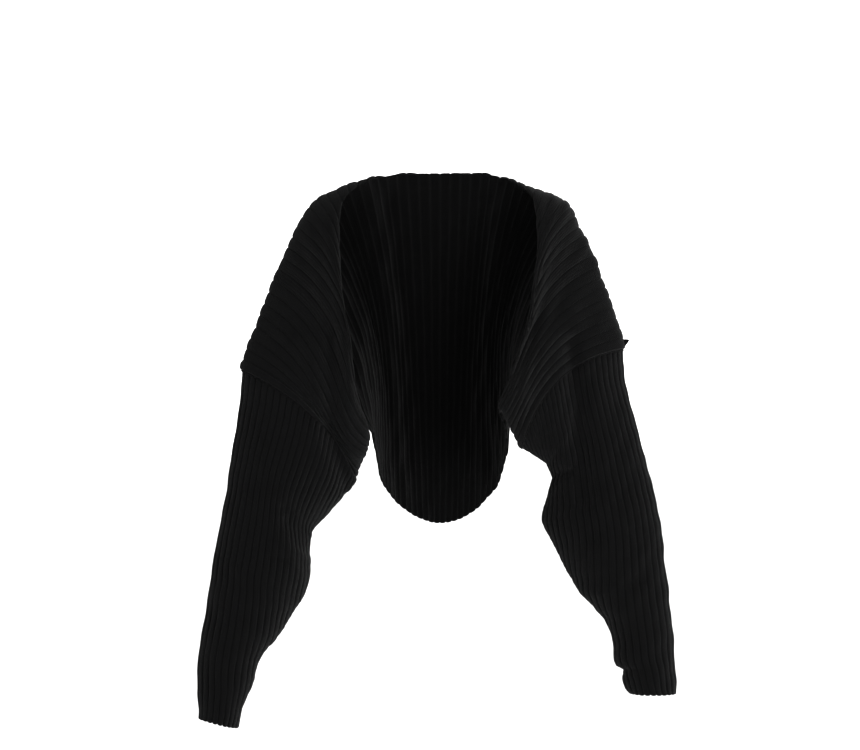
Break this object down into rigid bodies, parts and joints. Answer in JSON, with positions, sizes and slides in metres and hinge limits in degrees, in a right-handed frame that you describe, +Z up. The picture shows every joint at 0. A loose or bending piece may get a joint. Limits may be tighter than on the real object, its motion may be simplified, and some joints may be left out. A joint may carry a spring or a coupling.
{
  "type": "open rib-knit shrug, worn",
  "caption": "Cropped chunky rib-knit top worn open: one wide rib panel over the back, shoulders and upper arms, with two tapered rib sleeves.",
  "frame": {"origin": "middle of the garment at the height where the nape and shoulders carry it", "axes": "+Z up, -Y to the front, +X to the right as seen from the front"},
  "size_m": [0.733, 0.2095, 0.8543],
  "materials": {
    "rib_knit": "matte black chunky rib knit with a faint nap"
  },
  "bodies": {
    "root": {"body_panel": "rib_knit", "sleeve_left": "rib_knit", "sleeve_right": "rib_knit"}
  },
  "joints": []
}
